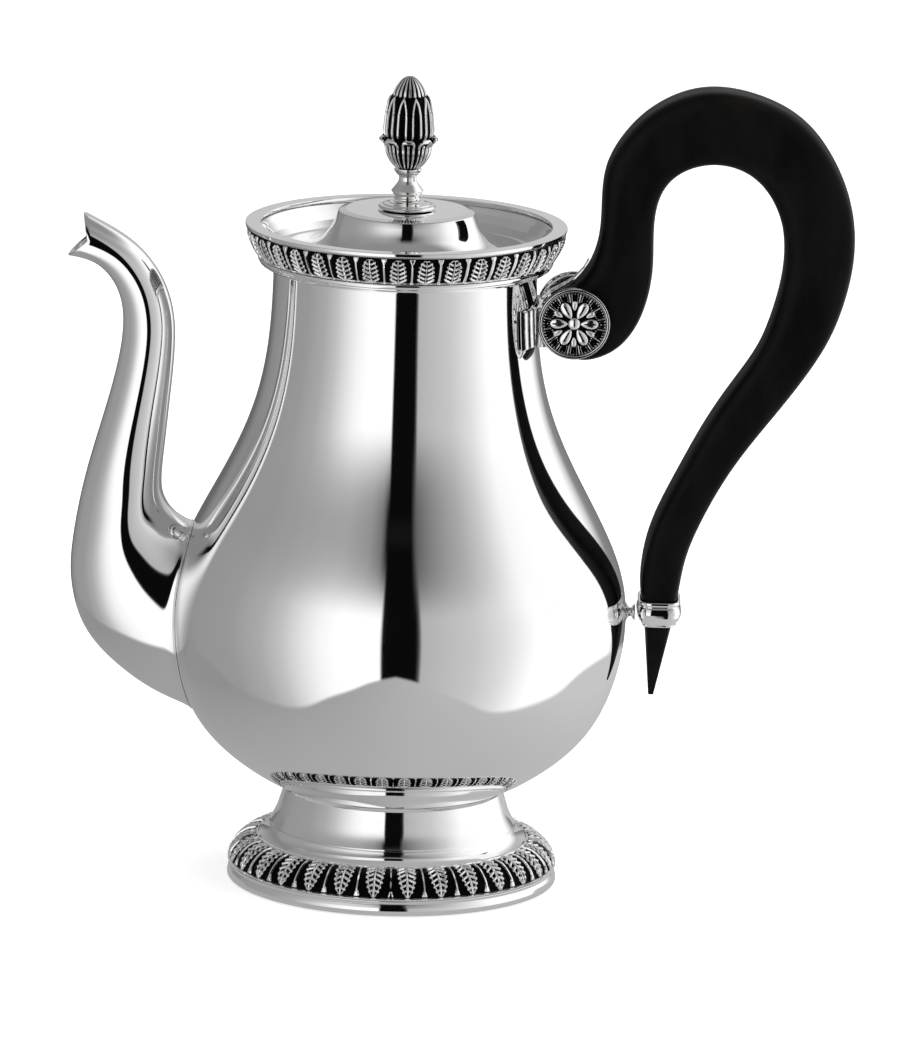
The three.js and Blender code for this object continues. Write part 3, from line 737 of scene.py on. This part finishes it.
def handle_socket():
    surface = Surface()
    neck = float(body_radius(SADDLE_Z)) + GAP
    far, half, front = SADDLE_END_X, CHEEK_OUT, 25
    # the saddle: its two flanks carry three upright mouldings
    x = np.linspace(0, 1, 61)[1:]
    mould = 0.42 * (0.5 - 0.5 * np.cos(TAU * x * 3))
    start = math.sqrt(neck**2 - half**2)
    outline = [(math.sqrt(neck**2 - y * y), y) for y in np.linspace(-half, half, front)]
    flank = np.c_[start + (far - start) * x, half - 0.1 - mould]
    outline = np.concatenate([outline, flank, flank[::-1] * [1, -1]])
    centre = outline.mean(0)
    rings = []
    for z, inset in ((165.8, 0.7), (165.9, 0.35), (166.2, 0.1), (166.6, 0), (176.6, 0), (177, 0.1),
                     (177.3, 0.35), (177.4, 0.7)):
        flat = centre + (outline - centre) * (1 - inset / 12)
        rings.append(np.c_[flat, np.full(len(flat), z)])
    # painted shade: the grooves of the flanks' mouldings get low relief, so the cast silver darkens them
    groove = np.interp(np.abs(outline[:, 1]), [half - 0.55, half - 0.1], [0.25, 1])
    groove[:front] = 1
    surface.loft(np.array(rings), relief=np.broadcast_to(groove, (len(rings), len(groove))))
    plate = dense(filleted([(0, CHEEK_IN), (CHEEK_R, CHEEK_IN), (CHEEK_R, CHEEK_OUT), (0, CHEEK_OUT)],
                           0.35, False), 1.2)[1:-1]
    angle = np.arange(160) / 160 * TAU
    for side in (-1, 1):
        surface.loft(*saddle_wing(side))
        surface.loft(about_scroll(plate[:, :1], side * plate[:, 1:], angle))
    return surface.make("socket_surface")


def rosette(side):
    around, rows = 816, 120
    angle = (np.arange(around) / around * TAU)[None, :]
    r = np.linspace(0.05, ROSETTE_R, rows)[:, None]
    rim = np.maximum(ridge(r - 10.2, 0.75), 0.8 * ridge(r - 9.4, 0.25)) + 0 * angle
    ray = 0.5 + 0.5 * np.cos(64 * angle)
    rays = smoothstep(0.3, 0.75, ray) * smoothstep(5.8, 6.8, r) * smoothstep(9.35, 9.0, r)

    def petals(turn, tip, root, half, split):
        """Six petals with a split down each, and the distance in from their outline."""
        local = wrapped((angle + turn) / TAU * 6) * TAU / 6
        across = r * np.sin(local)
        along = (r * np.cos(local) - root) / (tip - root)
        width = half * np.sqrt(np.clip(4 * along * (1 - along), 0, 1)) * (0.72 + 0.56 * along)
        inside = width - np.abs(across)
        dome = np.sqrt(np.clip(1 - (across / np.maximum(width, 0.05)) ** 2, 0, 1))
        dome = dome * np.sqrt(np.clip(1 - 0.75 * (2 * along - 1) ** 2, 0, 1))
        shape = smoothstep(0, 0.12, inside) * (0.4 + 0.6 * dome) * (along > 0) * (along < 1)
        reach = smoothstep(0.16, 0.3, along) * smoothstep(0.9, 0.75, along)
        return shape * (1 - split * ridge(across, 0.26) * reach), inside

    large, room = petals(0, 7.2, 1.9, 1.5, 0.85)
    small, _ = petals(math.pi / 6, 7.0, 4.0, 0.85, 0.3)
    clear = smoothstep(-0.5, -0.15, -room)
    boss = np.sqrt(np.clip(1 - (r / 1.95) ** 2, 0, 1)) + 0 * angle
    flower = highest([large, 0.8 * small * clear, boss])
    near = smoothstep(8.0, 7.4, r) * smoothstep(-0.75, -0.1, room)
    height = highest([rim, 0.74 * rays * (1 - near), flower])
    seat, base, top = CHEEK_OUT + 0.2, 0.7, 1.8
    edge = np.array([(10.8, 1.2), (10.8, 0.15), (10.65, 0), (0.05, 0)])
    face = about_scroll(r, side * (seat + base + (top - base) * height), angle)
    rest = about_scroll(edge[:, :1], side * (seat + edge[:, 1:]), angle)
    shown = np.concatenate([height, np.ones((len(edge), around))])
    surface = Surface()
    surface.grid(np.concatenate([face, rest]), close_u=True, relief=shown)
    name = "rosette_front_relief" if side < 0 else "rosette_back_relief"
    return surface.make(name, 60)


def socket_leaf():
    spine = catmull([(41.5, 178), (43.5, 180.1), (46.6, 182.1), (50.3, 184.6), (53.4, 188.1),
                     (54.8, 190.9)], np.linspace(0, 1, 60))
    along = np.gradient(spine, axis=0)
    along /= np.hypot(*along.T)[:, None]
    out = np.c_[-along[:, 1], along[:, 0]]
    t = np.linspace(0, 1, 60)
    half = 0.3 + 3.5 * np.sqrt(1 - t) * (0.85 + 0.15 * np.cos(math.pi * t))
    thick = 0.9 - 0.5 * t
    v = np.linspace(-1, 1, 49)
    barb = 0.5 + 0.5 * np.cos(TAU * (t[:, None] * 9 - 1.3 * np.abs(v)[None, :]))
    crown = np.sqrt(np.clip(1 - v**2, 0, 1))[None, :] ** 0.5
    raised = np.maximum(0.45 + 0.4 * smoothstep(0.3, 0.8, barb), ridge(v, 0.12)[None, :] * 1.0)
    raised = np.maximum(raised, smoothstep(0.86, 0.95, np.abs(v))[None, :])
    top = 0.15 + thick[:, None] * crown * (0.62 + 0.38 * raised)
    upper = np.stack([spine[:, :1] + out[:, :1] * top, half[:, None] * v[None, :],
                      spine[:, 1:] + out[:, 1:] * top], -1)
    w = v[::-1][1:-1]
    low = np.full((60, len(w)), 0.15)
    under = np.stack([spine[:, :1] + out[:, :1] * low, half[:, None] * w[None, :],
                      spine[:, 1:] + out[:, 1:] * low], -1)
    surface = Surface()
    # the leaf's relief also darkens the silver between its barbs: painted shade
    surface.loft(np.concatenate([upper, under], 1),
                 relief=np.concatenate([raised, np.ones((60, len(w)))], 1))
    return surface.make("socket_leaf_relief", 50)


def socket_pin():
    line = dense(filleted([(0, -11.7), (1.6, -11.7), (1.6, 11.7), (0, 11.7)], 0.3, False), 0.8)[1:-1]
    score = 0.03 * np.cos(TAU * line[:, 1:] / 0.9)
    r = np.maximum(line[:, :1] - 0.03 + score, 0.05)
    surface = Surface()
    surface.loft(about_scroll(r, line[:, 1:], np.arange(48) / 48 * TAU))
    return surface.make("socket_pin_surface")


def ferrule_ring():
    outside = [
        (80.4, 4.6), (80.4, 4.95), (80.7, 5.25), (81.15, 5.3), (81.5, 5.45), (82.2, 6.1), (83.4, 6.55),
        (84.4, 6.7), (85.2, 6.62), (86.1, 6.3), (86.5, 6.0), (86.75, 5.98), (87.0, 6.2), (87.4, 6.4),
        (87.9, 6.4), (88.2, 6.2), (88.2, 5.8),
    ]
    bore = [(88.2, 5.75), (84.3, 5.2), (80.4, 4.5)]
    z, half = filleted(outside + bore, 0.25, True, 4).T
    rings = section_rings(
        np.c_[FERRULE_X + half, z], np.c_[FERRULE_X - half, z], half + FERRULE_EXTRA, 4.2, 128
    )
    surface = Surface()
    surface.grid(rings, close_u=True)
    return surface.make("ferrule_surface")


def ferrule_post():
    line = [
        (0, 67.4), (3.4, 67.4), (3.4, 68.1), (2.9, 68.5), (2.5, 68.8), (1.55, 69.4), (1.3, 70),
        (1.5, 70.35), (2.2, 70.7), (2.5, 71), (2.5, 71.4), (0, 71.4),
    ]
    rows = dense(filleted(line, 0.25, False), 0.25)[1:-1]
    angle = np.arange(72) / 72 * TAU
    y, z = rows[:, :1] * np.cos(angle), rows[:, :1] * np.sin(angle)
    # the foot of the post follows the body's curve
    wall = np.sqrt(np.maximum(body_radius(POST_Z + z) ** 2 - y**2, 0)) + 0.1
    surface = Surface()
    surface.loft(np.stack([np.maximum(rows[:, 1:], wall), y, POST_Z + z], -1))
    return surface.make("post_surface")


def rosette_front():
    return rosette(-1)


def rosette_back():
    return rosette(1)


# ---------------------------------------------------------------- finishes
class Nodes:
    """A short way to add and link shader nodes."""

    def __init__(self, tree):
        self.tree = tree
        tree.nodes.clear()

    def add(self, kind, inputs=None, **values):
        node = self.tree.nodes.new(kind)
        for key, value in values.items():
            setattr(node, key, value)
        for key, value in (inputs or {}).items():
            if hasattr(value, "is_output"):
                self.tree.links.new(value, node.inputs[key])
            else:
                node.inputs[key].default_value = value
        return node

    def place(self):
        """The point's place in the piece's own space."""
        return self.add("ShaderNodeTexCoord").outputs["Object"]

    def relief(self):
        return self.add("ShaderNodeAttribute", attribute_name="relief").outputs["Fac"]

    def noise(self, place, scale, detail, roughness=0.5):
        return self.add("ShaderNodeTexNoise", {
            "Vector": place, "Scale": scale, "Detail": detail, "Roughness": roughness}).outputs[0]

    def bump(self, strength, distance, height):
        return self.add("ShaderNodeBump", {
            "Strength": strength, "Distance": distance, "Height": height}).outputs[0]

    def math(self, operation, a, b=0.0, c=0.0):
        return self.add("ShaderNodeMath", {0: a, 1: b, 2: c}, operation=operation).outputs[0]

    def span(self, value, low, high, to_low=0.0, to_high=1.0, kind="SMOOTHSTEP"):
        return self.add("ShaderNodeMapRange", {
            0: value, 1: low, 2: high, 3: to_low, 4: to_high}, interpolation_type=kind).outputs[0]

    def mix(self, factor, a, b):
        return self.add("ShaderNodeMix", {0: factor, 6: a, 7: b}, data_type="RGBA").outputs[2]

    def ramp(self, factor, stops):
        """Greys at places along a ramp."""
        node = self.add("ShaderNodeValToRGB", {0: factor})
        elements = node.color_ramp.elements
        while len(elements) > 1:
            elements.remove(elements[-1])
        elements[0].position = stops[0][0]
        elements[0].color = (*[stops[0][1]] * 3, 1)
        for position, grey in stops[1:]:
            elements.new(position).color = (grey, grey, grey, 1)
        return node.outputs[0]

    def show(self, shader, output="ShaderNodeOutputMaterial"):
        self.tree.links.new(shader.outputs[0], self.add(output).inputs[0])

    def principled(self, colour, roughness, **inputs):
        self.show(self.add("ShaderNodeBsdfPrincipled", {
            "Base Color": colour, "Roughness": roughness, **inputs}))


def material(name):
    made = bpy.data.materials.new(name)
    made.use_nodes = True
    return made, Nodes(made.node_tree)


def silver(name, tint=(0.925, 0.928, 0.93), rough=0.035, ground=None, swirl=0.012):
    """Silver with faint polishing marks. ground is painted shade: it darkens the recesses of the relief.
    """
    made, n = material(name)
    place = n.place()
    cloud = n.noise(place, 22.0, 3.0)
    fine = n.noise(place, 900.0, 4.0)
    warm = (tint[0] * 0.975, tint[1] * 0.972, tint[2] * 0.966, 1)
    colour = n.mix(n.span(cloud, 0.35, 0.65), (*tint, 1), warm)
    roughness = n.span(cloud, 0.3, 0.7, rough * 0.8, rough * 1.35)
    height = n.math("MULTIPLY", fine, swirl)
    if ground is not None:
        # painted shade: where the relief is low the colour goes to ground, near black, and the finish is
        # rougher
        jittered_relief = n.math("MULTIPLY_ADD", n.math("SUBTRACT", fine, 0.5), 0.25, n.relief())
        shown = n.span(jittered_relief, 0.22, 0.62)
        colour = n.mix(shown, (ground, ground, ground * 0.97, 1), colour)
        roughness = n.math("MULTIPLY_ADD", n.math("SUBTRACT", 1.0, shown), 0.42, roughness)
    n.principled(colour, roughness, Metallic=1.0, Normal=n.bump(0.05, 0.0002, height))
    return made


def stud_metal():
    made, n = material("turned_steel")
    place = n.place()
    lathe = n.add("ShaderNodeTexWave", {
        "Vector": place, "Scale": 900.0, "Distortion": 1.5, "Detail": 2.0}, bands_direction="Z")
    marks = lathe.outputs["Fac"]
    blotch = n.noise(place, 160.0, 3.0)
    colour = n.mix(blotch, (0.55, 0.54, 0.52, 1), (0.36, 0.35, 0.34, 1))
    roughness = n.span(marks, 0, 1, 0.24, 0.42)
    n.principled(colour, roughness, Metallic=1.0, Normal=n.bump(0.3, 0.00005, marks))
    return made


def ebonised_wood():
    made, n = material("ebonised_wood")
    # the grain runs along the handle
    stretched = n.add("ShaderNodeMapping", {
        "Vector": n.place(), "Rotation": (0, 0.5, 0), "Scale": (60.0, 420.0, 26.0)}).outputs[0]
    grain = n.noise(stretched, 1.0, 6.0, 0.6)
    pores = n.noise(stretched, 5.0, 2.0)
    colour = n.mix(
        n.span(grain, 0.35, 0.7), (0.0026, 0.0025, 0.0024, 1), (0.006, 0.0054, 0.005, 1)
    )
    roughness = n.span(grain, 0.3, 0.7, 0.3, 0.42)
    height = n.math("MULTIPLY_ADD", n.span(pores, 0.5, 0.62), -0.5, grain)
    n.principled(
        colour, roughness, Normal=n.bump(0.12, 0.0002, height), **{"Specular IOR Level": 0.06}
    )
    return made


# ---------------------------------------------------------------- studio
def studio_world():
    """White and grey panels round the pot by direction, with a narrow dark gap in front."""
    world = bpy.data.worlds.new("studio")
    bpy.context.scene.world = world
    world.use_nodes = True
    n = Nodes(world.node_tree)
    direction = n.add("ShaderNodeTexCoord").outputs["Generated"]
    x, y, z = n.add("ShaderNodeSeparateXYZ", {0: direction}).outputs
    # 0.5 is in front, towards -Y, and the angle grows towards +X
    turn = n.math("MULTIPLY_ADD", n.math("ARCTAN2", x, n.math("MULTIPLY", y, -1.0)), 1 / TAU, 0.5)
    rise = n.math("MULTIPLY", n.math("ARCSINE", z), 180 / math.pi)

    def panels(*pairs):
        return n.ramp(turn, [(angle / 360 + 0.5, grey) for angle, grey in pairs])

    low = panels(
        (-180, 0.14), (-160, 0.14), (-145, 0.26), (-120, 0.32), (-92, 0.34), (-72, 0.43), (-60, 0.57),
        (-49, 0.8), (-39, 1.0), (-28, 1.12), (-7.8, 1.12), (-7.2, 0.003), (11.1, 0.003), (12, 0.48),
        (20, 0.52), (40, 0.62), (56, 0.8), (74, 1.1), (136, 1.12), (152, 0.26), (180, 0.16),
    )
    high = panels(
        (-180, 0.6), (-160, 0.35), (-140, 0.24), (-95, 0.29), (-55, 0.34), (-36, 0.37), (-20, 0.3),
        (-12, 0.18), (-8.6, 0.003), (9, 0.003), (12, 0.12), (20, 0.21), (32, 0.32), (44, 0.42),
        (58, 0.6), (76, 0.95), (95, 1.12), (138, 1.1), (152, 0.5), (180, 0.6),
    )
    # low gives way to high between 16 and 44 degrees of elevation in front, -2 and 10 behind
    behind = n.math("GREATER_THAN", n.math("ABSOLUTE", n.math("SUBTRACT", turn, 0.5)), 0.36)
    start = n.math("MULTIPLY_ADD", behind, -18.0, 16.0)
    end = n.math("MULTIPLY_ADD", behind, -34.0, 44.0)
    around = n.mix(n.span(rise, start, end), low, high)
    mirrored = n.mix(n.span(rise, 42, 60), around, (0.27, 0.27, 0.27, 1))
    seen = n.add("ShaderNodeLightPath").outputs["Is Camera Ray"]
    colour = n.mix(seen, mirrored, (1.0, 1.0, 1.0, 1))
    back = n.add("ShaderNodeBackground", {"Color": colour, "Strength": 1.0})
    n.show(back, "ShaderNodeOutputWorld")


def disc(name, radius, z, rings=24, around=96, edge=None):
    """A flat disc that isn't part of the object. edge gives its radius at angles from the front,
    on both sides alike, and the relief attribute then falls to 0 at the disc's edge."""
    angle = np.arange(around) / around * TAU
    share = np.linspace(0.02, 1, rings)[:, None]
    r = share * radius * np.ones(around)
    height = np.ones((rings, around))
    if edge:
        from_front = np.abs((np.degrees(angle) + 90 + 180) % 360 - 180)
        bend = smooth_curve(edge, 181)
        r = r * np.interp(from_front, bend[:, 0], bend[:, 1])
        height = height * smoothstep(1.0, 0.92, share)
    surface = Surface()
    first, _, _ = surface.grid(revolved(r, z, angle), relief=height)
    surface.fan(first, around, (0, 0, z))
    obj = surface.make(name)
    return obj


def pale_floor():
    """The floor that is seen."""
    floor = disc("stage_floor", 5200, -0.4)
    made, n = material("pale_floor")
    colour = n.mix(n.noise(n.place(), 60.0, 4.0), (0.9, 0.9, 0.9, 1), (0.86, 0.86, 0.86, 1))
    n.principled(colour, 0.9, **{
        "Specular IOR Level": 0.0, "Emission Color": (1, 1, 1, 1), "Emission Strength": 0.55})
    floor.data.materials.append(made)
    floor.visible_glossy = False


def grey_table():
    """The table that only the silver mirrors: a glowing sheet, a painted reflection of the lit table
    that is brighter towards +X.
    """
    edge = [(0, 285), (10, 252), (20, 208), (31, 176), (46, 150), (66, 162), (90, 215), (130, 300),
            (180, 330)]
    table = disc("stage_table", 1, -0.2, rings=60, around=240, edge=edge)
    made, n = material("grey_table")
    x = n.add("ShaderNodeSeparateXYZ", {0: n.place()}).outputs[0]
    # painted reflection: the glow rises from 0.3 to 0.6 towards +X
    glow = n.add("ShaderNodeEmission", {
        "Color": (1, 1, 1, 1), "Strength": n.span(x, -0.19, 0.15, 0.3, 0.6, "LINEAR")})
    clear = n.add("ShaderNodeBsdfTransparent")
    n.show(n.add("ShaderNodeMixShader", {0: n.relief(), 1: clear.outputs[0], 2: glow.outputs[0]}))
    table.data.materials.append(made)
    table.visible_camera = False
    table.visible_diffuse = False
    table.visible_shadow = False


def studio_light():
    data = bpy.data.lights.new("overhead", "AREA")
    data.shape, data.size, data.size_y, data.energy = "RECTANGLE", 2.6, 2.6, 42
    lamp = bpy.data.objects.new("overhead", data)
    bpy.context.scene.collection.objects.link(lamp)
    lamp.location = (0.1, -0.3, 2.2)
    lamp.visible_glossy = False


def turned_together(a, b, degrees):
    """Two vectors at right angles, both turned in their own plane, a towards b."""
    c, s = math.cos(math.radians(degrees)), math.sin(math.radians(degrees))
    return c * a + s * b, c * b - s * a


def camera():
    """The photograph's view: from 12.6 degrees above the horizon, with the pot's axis leaning."""
    pitch = math.radians(CAMERA["pitch"])
    forward = Vector((0, math.cos(pitch), -math.sin(pitch)))
    right = Vector((1, 0, 0))
    up = right.cross(forward)
    forward, right = turned_together(forward, right, CAMERA["yaw"])
    right, up = turned_together(right, up, CAMERA["lean"])
    data = bpy.data.cameras.new("photo_view")
    data.sensor_width, data.lens = CAMERA["sensor"], CAMERA["lens"]
    data.clip_start, data.clip_end = 0.05, 30
    cam = bpy.data.objects.new("photo_view", data)
    bpy.context.scene.collection.objects.link(cam)
    matrix = Matrix((right, up, -forward)).transposed().to_4x4()
    matrix.translation = Vector((AXIS_X / 1000, -CAMERA["away"], CAMERA["height"]))
    cam.matrix_world = matrix
    bpy.context.scene.camera = cam


def build():
    """Makes each piece, which stands for the CAD nodes named with it, or for its maker's namesake."""
    polished = silver("polished_silver")
    foot = silver("foot_silver", rough=0.04)
    lid_finish = silver("lid_silver", rough=0.03)
    inside = silver("inside_silver", (0.86, 0.86, 0.855), 0.08)
    # the relief and cast silvers paint shade into the recesses of their pieces, through ground
    relief = silver("oxidised_relief_silver", (0.93, 0.93, 0.93), 0.11, ground=0.005, swirl=0.05)
    cast = silver("cast_silver", (0.92, 0.92, 0.92), 0.06, ground=0.012, swirl=0.03)
    steel = stud_metal()
    wood = ebonised_wood()
    plan = [
        (body_shell, polished, "body_bowl", "body_shell"), (body_base, inside),
        (neck_ring, polished), (rim_frieze, relief), (rim_lip, polished), (lid_gallery, polished),
        (foot_pedestal, foot), (foot_leaf_band, relief), (foot_rim, foot), (spout, polished),
        (lid, lid_finish), (lid_bezel, inside), (finial_foot, cast), (finial_knop, cast),
        (finial_calyx, relief), (finial_bud, relief), (finial_stud, steel), (finial_washer, steel),
        (finial_nut, steel), (handle, wood), (handle_socket, cast), (socket_leaf, cast),
        (socket_pin, steel), (rosette_front, relief), (rosette_back, relief), (ferrule_ring, cast),
        (ferrule_post, cast),
    ]
    bodies = frame["record"]["behaviour"]["bodies"]
    body_of = {node: body for body, nodes in bodies.items() for node in nodes}
    for maker, finish, *named in plan:
        nodes = named or [maker.__name__]
        obj = maker()
        obj.data.materials.clear()
        obj.data.materials.append(finish)
        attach(obj, body_of[nodes[0]])
        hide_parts(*nodes)


build()
studio_world()
pale_floor()
grey_table()
studio_light()
camera()
bpy.context.scene.view_settings.view_transform = "Standard"
bpy.context.scene.view_settings.look = "None"
